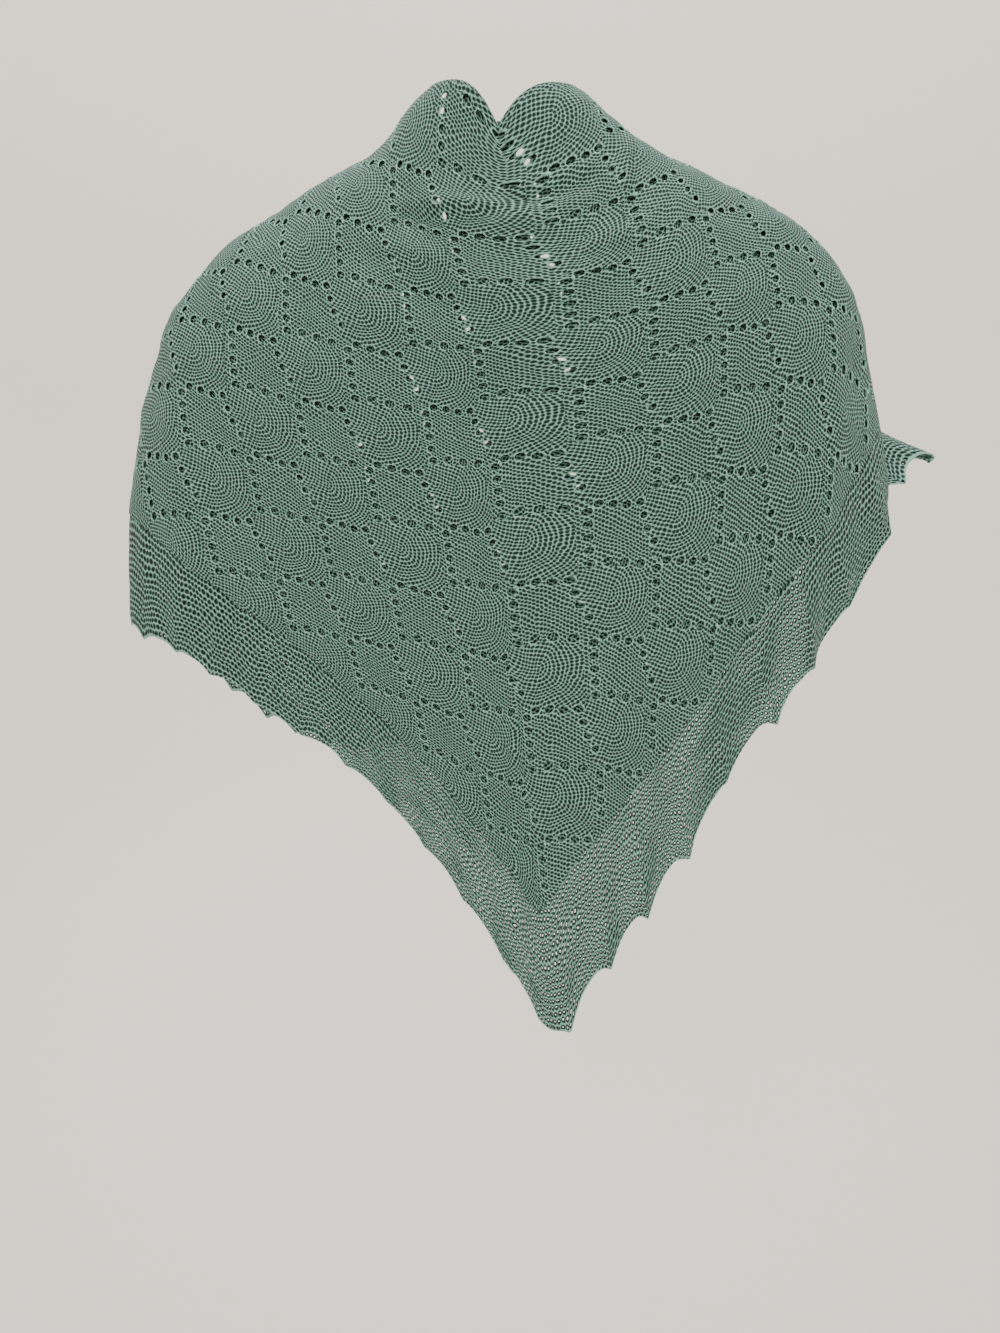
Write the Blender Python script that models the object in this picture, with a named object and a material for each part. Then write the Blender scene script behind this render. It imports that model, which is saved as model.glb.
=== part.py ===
# Triangular lace shawl, hanging as it is worn over the shoulders.
# Metres, +Z up. The wearer faces -Y, the wearer's left is +X.
# The origin is at the nape, where the wearer holds the shawl up.

import math

import bmesh
import bpy
import numpy as np

COLLECTION = "lace_shawl"

# Flat sizes
CELL = 0.041
LACE_REPEATS = 13.25
LACE = LACE_REPEATS * CELL
DEPTH = 0.628
HALF_CELLS = 27
LACE_HALF_CELLS = 2 * LACE_REPEATS
SPLIT = 8

# Cloth
WALL = 0.0015
LAYER_GAP = 0.0032
SEAM = 0.0003
INNER_DEPTH = WALL + LAYER_GAP
FOLD_RADIUS = WALL + LAYER_GAP / 2
FOLD_STEPS = 4

# Eyelets: places along half a repeat, and half sizes, as shares of it
EYELET_PLACES = (0.20, 0.70)
EYELET_HALF_WIDE = 0.145
EYELET_HALF_TALL = 0.165
EYELET_LAST_COLUMN = 17

# Rings down the body, one row each.
# Columns: reach from the collar edge, left x, left z, right x, right z, back y, back z,
# front y, front z, squareness of the ring, power of its dip, power of its notch
RINGS = np.array((
    (0.000, 0.050, 0.052, 0.060, 0.050, 0.060, 0.020, 0.050, -0.010, 2.0, 1.0, 3.0),
    (0.042, 0.088, 0.016, 0.090, 0.022, 0.076, -0.018, 0.066, -0.045, 2.1, 1.6, 1.5),
    (0.098, 0.143, -0.012, 0.144, -0.004, 0.095, -0.068, 0.088, -0.092, 2.3, 2.0, 1.0),
    (0.158, 0.204, -0.048, 0.202, -0.034, 0.106, -0.127, 0.110, -0.145, 2.5, 2.0, 1.0),
    (0.208, 0.242, -0.086, 0.234, -0.070, 0.111, -0.176, 0.124, -0.190, 2.6, 2.0, 1.0),
    (0.274, 0.268, -0.146, 0.256, -0.132, 0.114, -0.242, 0.134, -0.255, 2.7, 2.0, 1.0),
    (0.345, 0.287, -0.214, 0.275, -0.200, 0.110, -0.313, 0.134, -0.325, 2.8, 2.0, 1.0),
    (0.415, 0.297, -0.282, 0.286, -0.269, 0.104, -0.382, 0.132, -0.395, 2.8, 2.0, 1.0),
    (0.485, 0.298, -0.352, 0.288, -0.339, 0.104, -0.452, 0.130, -0.465, 2.8, 2.0, 1.0),
    (0.560, 0.294, -0.427, 0.287, -0.414, 0.112, -0.526, 0.130, -0.540, 2.8, 2.0, 1.0),
    (0.640, 0.294, -0.507, 0.287, -0.494, 0.120, -0.606, 0.130, -0.620, 2.8, 2.0, 1.0),
    (0.720, 0.294, -0.587, 0.287, -0.574, 0.122, -0.686, 0.130, -0.700, 2.8, 2.0, 1.0),
))

# Where the folded top edge lies on the body.
# Columns: share of the half width, turn from the back in degrees, reach
FOLD_EDGE = np.array((
    (-1.00, -158.0, 0.490),
    (-0.78, -160.0, 0.340),
    (-0.53, -156.0, 0.175),
    (-0.385, -156.0, 0.082),
    (-0.26, -142.0, 0.027),
    (-0.196, -115.0, 0.007),
    (-0.13, -58.0, 0.000),
    (-0.065, -4.0, 0.000),
    (0.00, 46.0, 0.002),
    (0.065, 80.0, 0.013),
    (0.13, 111.0, 0.030),
    (0.196, 127.0, 0.051),
    (0.26, 137.0, 0.073),
    (0.325, 143.5, 0.100),
    (0.435, 150.0, 0.168),
    (0.58, 155.0, 0.262),
    (0.73, 160.0, 0.345),
    (0.87, 167.0, 0.425),
    (1.00, 173.0, 0.490),
))

# Where the pointed edge hangs.
# Columns: share of the half width, distance round the body from the back, reach, slack
HEM = np.array((
    (-1.00, -0.611, 0.490, 0.040),
    (-0.90, -0.553, 0.455, 0.050),
    (-0.82, -0.500, 0.420, 0.060),
    (-0.75, -0.450, 0.380, 0.060),
    (-0.62, -0.398, 0.350, 0.060),
    (-0.55, -0.358, 0.345, 0.070),
    (-0.48, -0.316, 0.364, 0.080),
    (-0.42, -0.270, 0.388, 0.095),
    (-0.30, -0.192, 0.430, 0.105),
    (-0.15, -0.109, 0.540, 0.095),
    (-0.04, -0.054, 0.620, 0.080),
    (0.00, -0.030, 0.655, 0.075),
    (0.035, -0.010, 0.622, 0.070),
    (0.12, 0.047, 0.528, 0.055),
    (0.275, 0.150, 0.428, 0.045),
    (0.40, 0.255, 0.415, 0.040),
    (0.48, 0.320, 0.436, 0.030),
    (0.58, 0.392, 0.462, 0.025),
    (0.68, 0.462, 0.492, 0.020),
    (0.845, 0.575, 0.520, 0.020),
    (1.00, 0.698, 0.490, 0.020),
))
TIP_START = 0.97
SLACK_POWER = 1.5

# Collar, which leans to the wearer's left down to its own reach
COLLAR_LEAN = 0.012
COLLAR_REACH = 0.12

# Parts of the edge that stand away from the body.
# Columns: share at the middle, half width as a share, distance out, height where it starts
FLARES = (
    (-0.575, 0.070, 0.042, 0.55),
    (-0.455, 0.050, 0.004, 0.60),
    (-0.33, 0.045, 0.008, 0.60),
    (-0.20, 0.040, 0.006, 0.65),
    (0.30, 0.060, 0.006, 0.65),
    (0.55, 0.060, 0.005, 0.60),
    (0.72, 0.050, 0.012, 0.55),
    (-0.78, 0.050, 0.012, 0.55),
)

# Soft folds, as ridges over the body.
# Columns: distance round at the start, reach at the start, the same two at the end,
# sag of the middle, half width, height
FOLDS = (
    (-0.085, 0.052, 0.080, 0.050, 0.012, 0.010, 0.0040),
    (-0.100, 0.092, 0.110, 0.082, 0.018, 0.012, 0.0034),
    (-0.070, 0.138, 0.120, 0.118, 0.014, 0.013, 0.0026),
    (-0.250, 0.180, -0.215, 0.360, 0.004, 0.020, 0.0040),
    (0.265, 0.200, 0.240, 0.380, 0.004, 0.020, 0.0036),
    (-0.430, 0.150, -0.400, 0.330, 0.004, 0.020, 0.0060),
    (-0.520, 0.200, -0.480, 0.400, 0.004, 0.022, 0.0070),
    (0.430, 0.220, 0.400, 0.440, 0.004, 0.020, 0.0060),
    (0.520, 0.260, 0.480, 0.480, 0.004, 0.022, 0.0070),
    (-0.060, 0.380, -0.050, 0.560, 0.004, 0.024, 0.0040),
    (0.050, 0.330, 0.020, 0.520, 0.004, 0.024, 0.0036),
)
FOLD_TAPER = 0.3

# Points of the edge, for the wearer's right and left half
POINTS = {
    -1: {"count": 18, "depth": 0.013, "corners": 4},
    1: {"count": 23, "depth": 0.0065, "corners": 3},
}
BORDER_ROWS = (0.0, 0.36, 0.70, 1.0)
BORDER_SPLIT = 0.46

SAGE = (0.127, 0.242, 0.171, 1.0)
TINTS = {
    "outer": 1.00,
    "inner": 0.86,
    "border": 1.08,
    "fold": 0.94,
}

# Half step for ways out of the cloth
SIDE_STEP = 0.002

# Fine table of the rings, for distances round the body
REACHES = np.linspace(0.0, RINGS[-1, 0], 145)
TURNS = np.radians(np.linspace(-180.0, 180.0, 721))
BACK = len(TURNS) // 2


def smooth(table, at):
    """Smooth curve through a table's rows, placed by its first column."""
    place = table[:, 0]
    at = np.clip(np.asarray(at, float), place[0], place[-1])
    row = np.clip(np.searchsorted(place, at, side="right") - 1, 0, len(place) - 2)
    step = (place[row + 1] - place[row])[..., None]
    t = (at[..., None] - place[row][..., None]) / step
    slope = np.gradient(table[:, 1:], place, axis=0)
    start = table[row, 1:]
    end = table[row + 1, 1:]
    rise = 3 * t ** 2 - 2 * t ** 3
    leave = (t - 2 * t ** 2 + t ** 3) * step * slope[row]
    arrive = (t ** 3 - t ** 2) * step * slope[row + 1]
    return start + (end - start) * rise + leave + arrive


def ease(t):
    """Soft step from 0 to 1."""
    t = np.clip(t, 0.0, 1.0)
    return t * t * (3 - 2 * t)


def unit(v):
    """Vectors scaled to length 1."""
    return v / np.linalg.norm(v, axis=-1, keepdims=True)


def ring_point(reach, turn):
    """Point of the body form at a reach and a turn from the back."""
    columns = np.moveaxis(smooth(RINGS, reach), -1, 0)
    left_x, left_z, right_x, right_z, back_y, back_z, front_y, front_z = columns[:8]
    squareness, dip, notch = columns[8:]
    side = np.sin(turn)
    along = np.cos(turn)
    power = 2 / squareness
    x = np.where(side > 0, left_x, right_x) * np.sign(side) * np.abs(side) ** power
    y = np.where(along > 0, back_y, front_y) * np.sign(along) * np.abs(along) ** power
    middle_z = np.where(along > 0, back_z, front_z)
    side_z = np.where(side > 0, left_z, right_z)
    rise = 1 - (1 - np.abs(side) ** dip) ** notch
    shift = COLLAR_LEAN * np.clip(1 - reach / COLLAR_REACH, 0.0, 1.0)
    return np.stack([x + shift, y, middle_z + (side_z - middle_z) * rise], -1)


def ring_arcs():
    """Distance round each fine ring from the back, + to the wearer's left."""
    grid = ring_point(REACHES[:, None] + 0 * TURNS, TURNS + 0 * REACHES[:, None])
    steps = np.linalg.norm(np.diff(grid, axis=1), axis=2)
    arcs = np.concatenate([np.zeros((len(REACHES), 1)), np.cumsum(steps, axis=1)], axis=1)
    return arcs - arcs[:, BACK:BACK + 1]


ARCS = ring_arcs()


def ring_rows(reach):
    """The fine ring above a reach, and how far the reach lies past it."""
    place = np.clip(reach / REACHES[-1], 0.0, 1.0) * (len(REACHES) - 1)
    row = np.minimum(place.astype(int), len(REACHES) - 2)
    return row, place - row


def around_of(reach, turn):
    """Distance round the body at a turn."""
    row, past = ring_rows(reach)
    place = (turn + math.pi) / (2 * math.pi) * (len(TURNS) - 1)
    column = np.clip(place.astype(int), 0, len(TURNS) - 2)
    across = place - column
    upper = ARCS[row, column] * (1 - across) + ARCS[row, column + 1] * across
    lower = ARCS[row + 1, column] * (1 - across) + ARCS[row + 1, column + 1] * across
    return upper * (1 - past) + lower * past


def turn_of(reach, around):
    """Turn at a distance round the body."""
    row, past = ring_rows(reach)
    turns = np.empty_like(around)
    for spot in np.ndindex(around.shape):
        upper = np.interp(around[spot], ARCS[row[spot]], TURNS)
        lower = np.interp(around[spot], ARCS[row[spot] + 1], TURNS)
        turns[spot] = upper * (1 - past[spot]) + lower * past[spot]
    return turns


def chart(f, d):
    """Distance round the body and reach, for flat distances along and from the fold."""
    share = f / DEPTH
    t = np.clip(d / np.maximum(DEPTH - np.abs(f), 1e-6), 0.0, 1.2)
    edge = smooth(FOLD_EDGE, share)
    hem = smooth(HEM, share)
    top_reach = edge[..., 1]
    top_around = around_of(top_reach, np.radians(edge[..., 0]))
    meet = ease((np.abs(share) - TIP_START) / (1 - TIP_START))
    hem_around = hem[..., 0] + (top_around - hem[..., 0]) * meet
    hem_reach = hem[..., 1] + (top_reach - hem[..., 1]) * meet
    fall = t - hem[..., 2] * np.sin(math.pi * np.minimum(t, 1.0)) ** SLACK_POWER
    around = top_around + (hem_around - top_around) * t
    reach = top_reach + (hem_reach - top_reach) * fall
    return around, reach, t


def stand(share, around, reach, t):
    """Distance that the cloth stands out from the body form."""
    out = np.zeros_like(around)
    for middle, half, height, start in FLARES:
        bell = ease(1 - np.abs(share - middle) / half)
        out += height * bell * np.clip((t - start) / (1 - start), 0.0, 1.1) ** 2
    for around_a, reach_a, around_b, reach_b, sag, half, height in FOLDS:
        run = np.array((around_b - around_a, reach_b - reach_a))
        length = math.hypot(run[0], run[1])
        run = run / length
        along = (around - around_a) * run[0] + (reach - reach_a) * run[1]
        across = (reach - reach_a) * run[0] - (around - around_a) * run[1]
        place = along / length
        bow = sag * 4 * place * (1 - place)
        taper = ease(place / FOLD_TAPER) * ease((1 - place) / FOLD_TAPER)
        out += height * np.exp(-((across - bow) / half) ** 2) * taper
    return out


def cloth(f, d, inside=0.0):
    """Point of the draped cloth, with the way out of it, for flat distances."""
    f = np.asarray(f, float)
    d = np.asarray(d, float)
    around, reach, t = chart(f, d)
    turn = turn_of(reach, around)
    above = np.maximum(reach - SIDE_STEP, 0)
    down = ring_point(reach + SIDE_STEP, turn) - ring_point(above, turn)
    round_body = ring_point(reach, turn + SIDE_STEP) - ring_point(reach, turn - SIDE_STEP)
    out = unit(np.cross(round_body, down))
    point = ring_point(reach, turn)
    away = stand(f / DEPTH, around, reach, t)
    return point + out * (away - inside)[..., None], out


def lace_nodes(inside):
    """Corners of the half repeats, by column and row, with the way out at each."""
    flat = []
    keys = []
    for column in range(-HALF_CELLS, HALF_CELLS + 1):
        for row in range(HALF_CELLS + 1 - abs(column)):
            along = min(abs(column) * CELL / 2, LACE)
            from_fold = min(row * CELL / 2, LACE - along)
            flat.append((math.copysign(along, column), from_fold))
            keys.append((column, row))
    flat = np.array(flat)
    points, outs = cloth(flat[:, 0], flat[:, 1], inside)
    return dict(zip(keys, points)), dict(zip(keys, outs))


def toward(start, end, distance):
    """Point a distance from a start, on the way to an end."""
    way = end - start
    return start + way * (distance / np.linalg.norm(way))


def corner(bm, point, out):
    """Corner of an open surface, with its way out kept."""
    vert = bm.verts.new(point)
    vert[bm.verts.layers.float_vector["out"]] = out
    return vert


def thicken(bm):
    """Closed wall from an open surface, going in along each corner's way out."""
    layer = bm.verts.layers.float_vector["out"]
    surface = bm.faces[:]
    rim = [edge.link_loops[0] for edge in bm.edges if edge.is_boundary]
    twins = {vert: bm.verts.new(vert.co - WALL * vert[layer]) for vert in bm.verts[:]}
    for loop in rim:
        start = loop.vert
        end = loop.link_loop_next.vert
        bm.faces.new((end, start, twins[start], twins[end]))
    for face in surface:
        bm.faces.new([twins[vert] for vert in reversed(face.verts)])


def new_object(name, fill, tint):
    """Solid with its own material, from a function that fills an open surface."""
    bm = bmesh.new()
    bm.verts.layers.float_vector.new("out")
    fill(bm)
    bmesh.ops.triangulate(bm, faces=bm.faces[:])
    thicken(bm)
    bmesh.ops.triangulate(bm, faces=bm.faces[:])
    mesh = bpy.data.meshes.new(name)
    bm.to_mesh(mesh)
    bm.free()
    mesh.attributes.remove(mesh.attributes["out"])
    thing = bpy.data.objects.new(name, mesh)
    material = bpy.data.materials.new(name + "_yarn")
    material.use_nodes = True
    shader = material.node_tree.nodes["Principled BSDF"]
    shade = TINTS[tint]
    colour = (SAGE[0] * shade, SAGE[1] * shade, SAGE[2] * shade, 1.0)
    shader.inputs["Base Color"].default_value = colour
    shader.inputs["Roughness"].default_value = 0.85
    mesh.materials.append(material)
    bpy.data.collections[COLLECTION].objects.link(thing)


def hexagon(bm, cell, across):
    """Six corners of an eyelet in a half repeat, from its left point over the top."""
    layer = bm.verts.layers.float_vector["out"]
    top_left, top_right, low_left, low_right = cell
    ring = []
    for step in range(6):
        angle = math.pi - step * math.pi / 3
        u = across + EYELET_HALF_WIDE * math.cos(angle)
        v = 0.5 - EYELET_HALF_TALL * math.sin(angle)
        top = top_left.co.lerp(top_right.co, u)
        low = low_left.co.lerp(low_right.co, u)
        top_out = top_left[layer].lerp(top_right[layer], u)
        low_out = low_left[layer].lerp(low_right[layer], u)
        ring.append(corner(bm, top.lerp(low, v), top_out.lerp(low_out, v)))
    return ring


def fill_eyelet_cell(bm, cell):
    """Half repeat with two eyelets cut through."""
    top_left, top_right, low_left, low_right = cell
    first, second = (hexagon(bm, cell, place) for place in EYELET_PLACES)
    for left, right, over, flip in ((top_left, top_right, (1, 2), False),
                                    (low_left, low_right, (5, 4), True)):
        near, far = over
        faces = (
            (left, first[near], first[0]),
            (left, first[far], first[near]),
            (left, second[near], first[far]),
            (left, right, second[near]),
            (right, second[far], second[near]),
            (right, second[3], second[far]),
            (first[far], second[near], second[0]),
            (first[far], second[0], first[3]),
        )
        for face in faces:
            bm.faces.new(face[::-1] if flip else face)
    bm.faces.new((top_left, first[0], low_left))
    bm.faces.new((top_right, low_right, second[3]))


def has_eyelets(column, row):
    """Whether a half repeat lies on the top row of a leaf."""
    if row % 2 or row == 0:
        return False
    if column + row + 2 > HALF_CELLS or row + 1 - column > HALF_CELLS:
        return False
    if not -EYELET_LAST_COLUMN <= column < EYELET_LAST_COLUMN:
        return False
    return (column // 2 + row // 2) % 2 == 0


def lace_panel(first, last, nodes, outs, eyelets):
    """Function that fills a mesh with the lace between two columns."""
    def place(column, row):
        point = nodes[column, row]
        if abs(column) == SPLIT and max(abs(first), abs(last)) > SPLIT:
            beyond = column + (1 if column > 0 else -1)
            if (beyond, row) in nodes:
                return toward(point, nodes[beyond, row], SEAM)
            return toward(point, nodes[beyond, row - 1], SEAM)
        return point

    def fill(bm):
        verts = {}
        for column in range(first, last + 1):
            for row in range(HALF_CELLS + 1 - abs(column)):
                verts[column, row] = corner(bm, place(column, row), outs[column, row])
        for column in range(first, last):
            for row in range(HALF_CELLS):
                keys = ((column, row), (column + 1, row), (column, row + 1), (column + 1, row + 1))
                held = [key for key in keys if key in verts]
                if len(held) < 3:
                    continue
                if len(held) == 4 and eyelets and has_eyelets(column, row):
                    cell = [verts[key] for key in keys]
                    fill_eyelet_cell(bm, cell)
                    continue
                order = (keys[0], keys[1], keys[3], keys[2])
                bm.faces.new([verts[key] for key in order if key in verts])
    return fill


def point_depth(side, place):
    """Depth of the pointed edge at a place in number of points from the fold end."""
    rise = 1 - np.abs(2 * (place % 1.0) - 1)
    return POINTS[side]["depth"] * ease(rise)


def border_piece(side, start, end, nodes, outs):
    """Function that fills a mesh with the border over a share of one side."""
    count = POINTS[side]["count"]
    total = count * POINTS[side]["corners"]

    def fill(bm):
        first = round(start * total)
        last = round(end * total)
        stations = np.arange(first, last + 1) / total
        rows = []
        for height in BORDER_ROWS:
            scale = 1 + height * (DEPTH / LACE - 1)
            reach_out = height * point_depth(side, stations * count) / DEPTH
            along = side * LACE * stations * (scale + reach_out)
            across = LACE * (1 - stations) * (scale + reach_out)
            rows.append(cloth(along, across))
        seam = []
        seam_outs = []
        for share, below in zip(stations, rows[1][0]):
            place = share * LACE_HALF_CELLS
            if abs(place - round(place)) < LACE_HALF_CELLS / total / 2:
                place = round(place)
            column = min(int(place), HALF_CELLS - 1)
            width = min(1.0, LACE_HALF_CELLS - column)
            past = (place - column) / width
            near = (side * column, HALF_CELLS - column)
            far = (side * (column + 1), HALF_CELLS - column - 1)
            chord = nodes[near] + (nodes[far] - nodes[near]) * past
            seam.append(toward(chord, below, SEAM))
            seam_outs.append(outs[near] + (outs[far] - outs[near]) * past)
        rows[0] = (np.array(seam), np.array(seam_outs))
        grid = []
        for points, ways in rows:
            points[0] = toward(points[0], points[1], SEAM / 2)
            if end < 1:
                points[-1] = toward(points[-1], points[-2], SEAM / 2)
            grid.append([corner(bm, point, way) for point, way in zip(points, ways)])
        for upper, lower in zip(grid, grid[1:]):
            for step in range(len(upper) - 1):
                loop = [upper[step], lower[step], lower[step + 1], upper[step + 1]]
                bm.faces.new(loop[::-1] if side > 0 else loop)
    return fill


def fold_piece(first, last, nodes, outs):
    """Function that fills a mesh with the rounded fold between two columns."""
    def fill(bm):
        rings = []
        for column in range(first, last + 1):
            top = nodes[column, 0]
            out = outs[column, 0]
            if (column, 1) in nodes:
                up = top - nodes[column, 1]
            else:
                inner = column - (1 if column > 0 else -1)
                up = nodes[inner, 0] - nodes[inner, 1]
            up = unit(up - out * np.dot(up, out))
            centre = top - out * FOLD_RADIUS + up * SEAM
            angles = [math.pi * step / FOLD_STEPS for step in range(FOLD_STEPS + 1)]
            ways = [out * math.cos(angle) + up * math.sin(angle) for angle in angles]
            rings.append(([centre + FOLD_RADIUS * way for way in ways], ways))
        for end, beside in ((0, 1), (-1, -2)):
            points = zip(rings[end][0], rings[beside][0])
            rings[end] = ([toward(a, b, SEAM / 2) for a, b in points], rings[end][1])
        grid = [[corner(bm, point, way) for point, way in zip(*ring)] for ring in rings]
        for ring, beside in zip(grid, grid[1:]):
            for step in range(FOLD_STEPS):
                bm.faces.new((ring[step + 1], beside[step + 1], beside[step], ring[step]))
    return fill


def build():
    """The shawl, a solid for each layer, side, border and stretch of the fold."""
    for thing in list(bpy.data.objects):
        bpy.data.objects.remove(thing)
    bpy.context.scene.collection.children.link(bpy.data.collections.new(COLLECTION))
    outer, outs = lace_nodes(0.0)
    inner, inner_outs = lace_nodes(INNER_DEPTH)
    spans = {
        "right": (-HALF_CELLS, -SPLIT),
        "back": (-SPLIT, SPLIT),
        "left": (SPLIT, HALF_CELLS),
    }
    for name, (first, last) in spans.items():
        front = lace_panel(first, last, outer, outs, True)
        behind = lace_panel(first, last, inner, inner_outs, False)
        new_object("outer_lace_" + name, front, "outer")
        new_object("inner_layer_" + name, behind, "inner")
        new_object("fold_edge_" + name, fold_piece(first, last, outer, outs), "fold")
    for side, name in ((-1, "right"), (1, "left")):
        for stretch, start, end in (("_back", 0.0, BORDER_SPLIT), ("_front", BORDER_SPLIT, 1.0)):
            border = border_piece(side, start, end, outer, outs)
            new_object("border_" + name + stretch, border, "border")


build()
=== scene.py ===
# Looks of the lace shawl: fine knitted shells in place of the plain solids.
# Metres, in the row frame: +Z up, the wearer's left is +X, the back is +Y.

import math

import bpy
import numpy as np
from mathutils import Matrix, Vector


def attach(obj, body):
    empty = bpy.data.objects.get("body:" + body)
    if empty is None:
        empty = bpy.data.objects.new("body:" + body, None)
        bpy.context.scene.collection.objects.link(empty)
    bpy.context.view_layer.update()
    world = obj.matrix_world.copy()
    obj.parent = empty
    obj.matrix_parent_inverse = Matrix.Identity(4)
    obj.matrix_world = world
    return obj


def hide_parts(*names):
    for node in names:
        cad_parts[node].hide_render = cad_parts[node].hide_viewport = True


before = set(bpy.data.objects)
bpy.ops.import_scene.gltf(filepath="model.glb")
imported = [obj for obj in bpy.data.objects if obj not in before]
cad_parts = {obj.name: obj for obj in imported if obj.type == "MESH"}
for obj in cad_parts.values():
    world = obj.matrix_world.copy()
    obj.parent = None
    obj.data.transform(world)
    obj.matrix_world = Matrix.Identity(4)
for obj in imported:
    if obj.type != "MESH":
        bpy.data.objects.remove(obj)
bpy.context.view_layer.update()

# Flat sizes of the cloth: one repeat of the lace, the triangle's depth without and with
# its border, half the width of the back pieces, and the border's own width
CELL = 0.041
LACE_REPEATS = 13.25
LACE = LACE_REPEATS * CELL
DEPTH = 0.628
SPLIT = 4 * CELL
BORDER_SPLIT = 0.46

# Fine grid: steps to a repeat, length of a step, last step, rows of the border
GRID = 20
STEP = CELL / GRID
LAST = round(LACE_REPEATS * GRID)
BORDER_STEPS = 32
FOLD_STEPS = 8

# Walls: thickness of the fine shells and of the solids, the gap between the two layers,
# how much nearer the fine inner layer lies, and what the fold adds to half their depth
WALL = 0.0012
SOLID_WALL = 0.0015
LAYER_GAP = 0.0032
INNER_DEPTH = SOLID_WALL + LAYER_GAP
NESTLE = 0.0010
FOLD_SPARE = 0.0007
FOLD_RADIUS = INNER_DEPTH / 2 + FOLD_SPARE

# Rings down the body, one row each.
# Columns: reach from the collar edge, left x, left z, right x, right z, back y, back z,
# front y, front z, squareness of the ring, power of its dip, power of its notch
RINGS = np.array((
    (0.000, 0.050, 0.052, 0.060, 0.050, 0.060, 0.020, 0.050, -0.010, 2.0, 1.0, 3.0),
    (0.042, 0.088, 0.016, 0.090, 0.022, 0.076, -0.018, 0.066, -0.045, 2.1, 1.6, 1.5),
    (0.098, 0.143, -0.012, 0.144, -0.004, 0.095, -0.068, 0.088, -0.092, 2.3, 2.0, 1.0),
    (0.158, 0.204, -0.048, 0.202, -0.034, 0.106, -0.127, 0.110, -0.145, 2.5, 2.0, 1.0),
    (0.208, 0.242, -0.086, 0.234, -0.070, 0.111, -0.176, 0.124, -0.190, 2.6, 2.0, 1.0),
    (0.274, 0.268, -0.146, 0.256, -0.132, 0.114, -0.242, 0.134, -0.255, 2.7, 2.0, 1.0),
    (0.345, 0.287, -0.214, 0.275, -0.200, 0.110, -0.313, 0.134, -0.325, 2.8, 2.0, 1.0),
    (0.415, 0.297, -0.282, 0.286, -0.269, 0.104, -0.382, 0.132, -0.395, 2.8, 2.0, 1.0),
    (0.485, 0.298, -0.352, 0.288, -0.339, 0.104, -0.452, 0.130, -0.465, 2.8, 2.0, 1.0),
    (0.560, 0.294, -0.427, 0.287, -0.414, 0.112, -0.526, 0.130, -0.540, 2.8, 2.0, 1.0),
    (0.640, 0.294, -0.507, 0.287, -0.494, 0.120, -0.606, 0.130, -0.620, 2.8, 2.0, 1.0),
    (0.720, 0.294, -0.587, 0.287, -0.574, 0.122, -0.686, 0.130, -0.700, 2.8, 2.0, 1.0),
))

# Where the folded top edge lies on the body.
# Columns: share of the half width, turn from the back in degrees, reach
FOLD_EDGE = np.array((
    (-1.00, -158.0, 0.490),
    (-0.78, -160.0, 0.340),
    (-0.53, -156.0, 0.175),
    (-0.385, -156.0, 0.082),
    (-0.26, -142.0, 0.027),
    (-0.196, -115.0, 0.007),
    (-0.13, -58.0, 0.000),
    (-0.065, -4.0, 0.000),
    (0.00, 46.0, 0.002),
    (0.065, 80.0, 0.013),
    (0.13, 111.0, 0.030),
    (0.196, 127.0, 0.051),
    (0.26, 137.0, 0.073),
    (0.325, 143.5, 0.100),
    (0.435, 150.0, 0.168),
    (0.58, 155.0, 0.262),
    (0.73, 160.0, 0.345),
    (0.87, 167.0, 0.425),
    (1.00, 173.0, 0.490),
))

# Where the pointed edge hangs.
# Columns: share of the half width, distance round the body from the back, reach, slack
HEM = np.array((
    (-1.00, -0.611, 0.490, 0.040),
    (-0.90, -0.553, 0.455, 0.050),
    (-0.82, -0.500, 0.420, 0.060),
    (-0.75, -0.450, 0.380, 0.060),
    (-0.62, -0.398, 0.350, 0.060),
    (-0.55, -0.358, 0.345, 0.070),
    (-0.48, -0.316, 0.364, 0.080),
    (-0.42, -0.270, 0.388, 0.095),
    (-0.30, -0.192, 0.430, 0.105),
    (-0.15, -0.109, 0.540, 0.095),
    (-0.04, -0.054, 0.620, 0.080),
    (0.00, -0.030, 0.655, 0.075),
    (0.035, -0.010, 0.622, 0.070),
    (0.12, 0.047, 0.528, 0.055),
    (0.275, 0.150, 0.428, 0.045),
    (0.40, 0.255, 0.415, 0.040),
    (0.48, 0.320, 0.436, 0.030),
    (0.58, 0.392, 0.462, 0.025),
    (0.68, 0.462, 0.492, 0.020),
    (0.845, 0.575, 0.520, 0.020),
    (1.00, 0.698, 0.490, 0.020),
))

# Hem: share at which it starts to close on the fold's end, power of its slack, how far
# past it the cloth may go as a share of the way down, and the least way down
TIP_START = 0.97
SLACK_POWER = 1.5
CHART_END = 1.2
TINY = 1e-6

# Sideways lean of the collar, and the reach at which it has gone
COLLAR_LEAN = 0.012
COLLAR_REACH = 0.12

# Parts of the edge that stand away from the body.
# Columns: share at the middle, half width as a share, distance out, height where it starts
FLARES = (
    (-0.575, 0.070, 0.042, 0.55),
    (-0.455, 0.050, 0.004, 0.60),
    (-0.33, 0.045, 0.008, 0.60),
    (-0.20, 0.040, 0.006, 0.65),
    (0.30, 0.060, 0.006, 0.65),
    (0.55, 0.060, 0.005, 0.60),
    (0.72, 0.050, 0.012, 0.55),
    (-0.78, 0.050, 0.012, 0.55),
)

# Share of the way down up to which a flare grows
FLARE_END = 1.1

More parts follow.
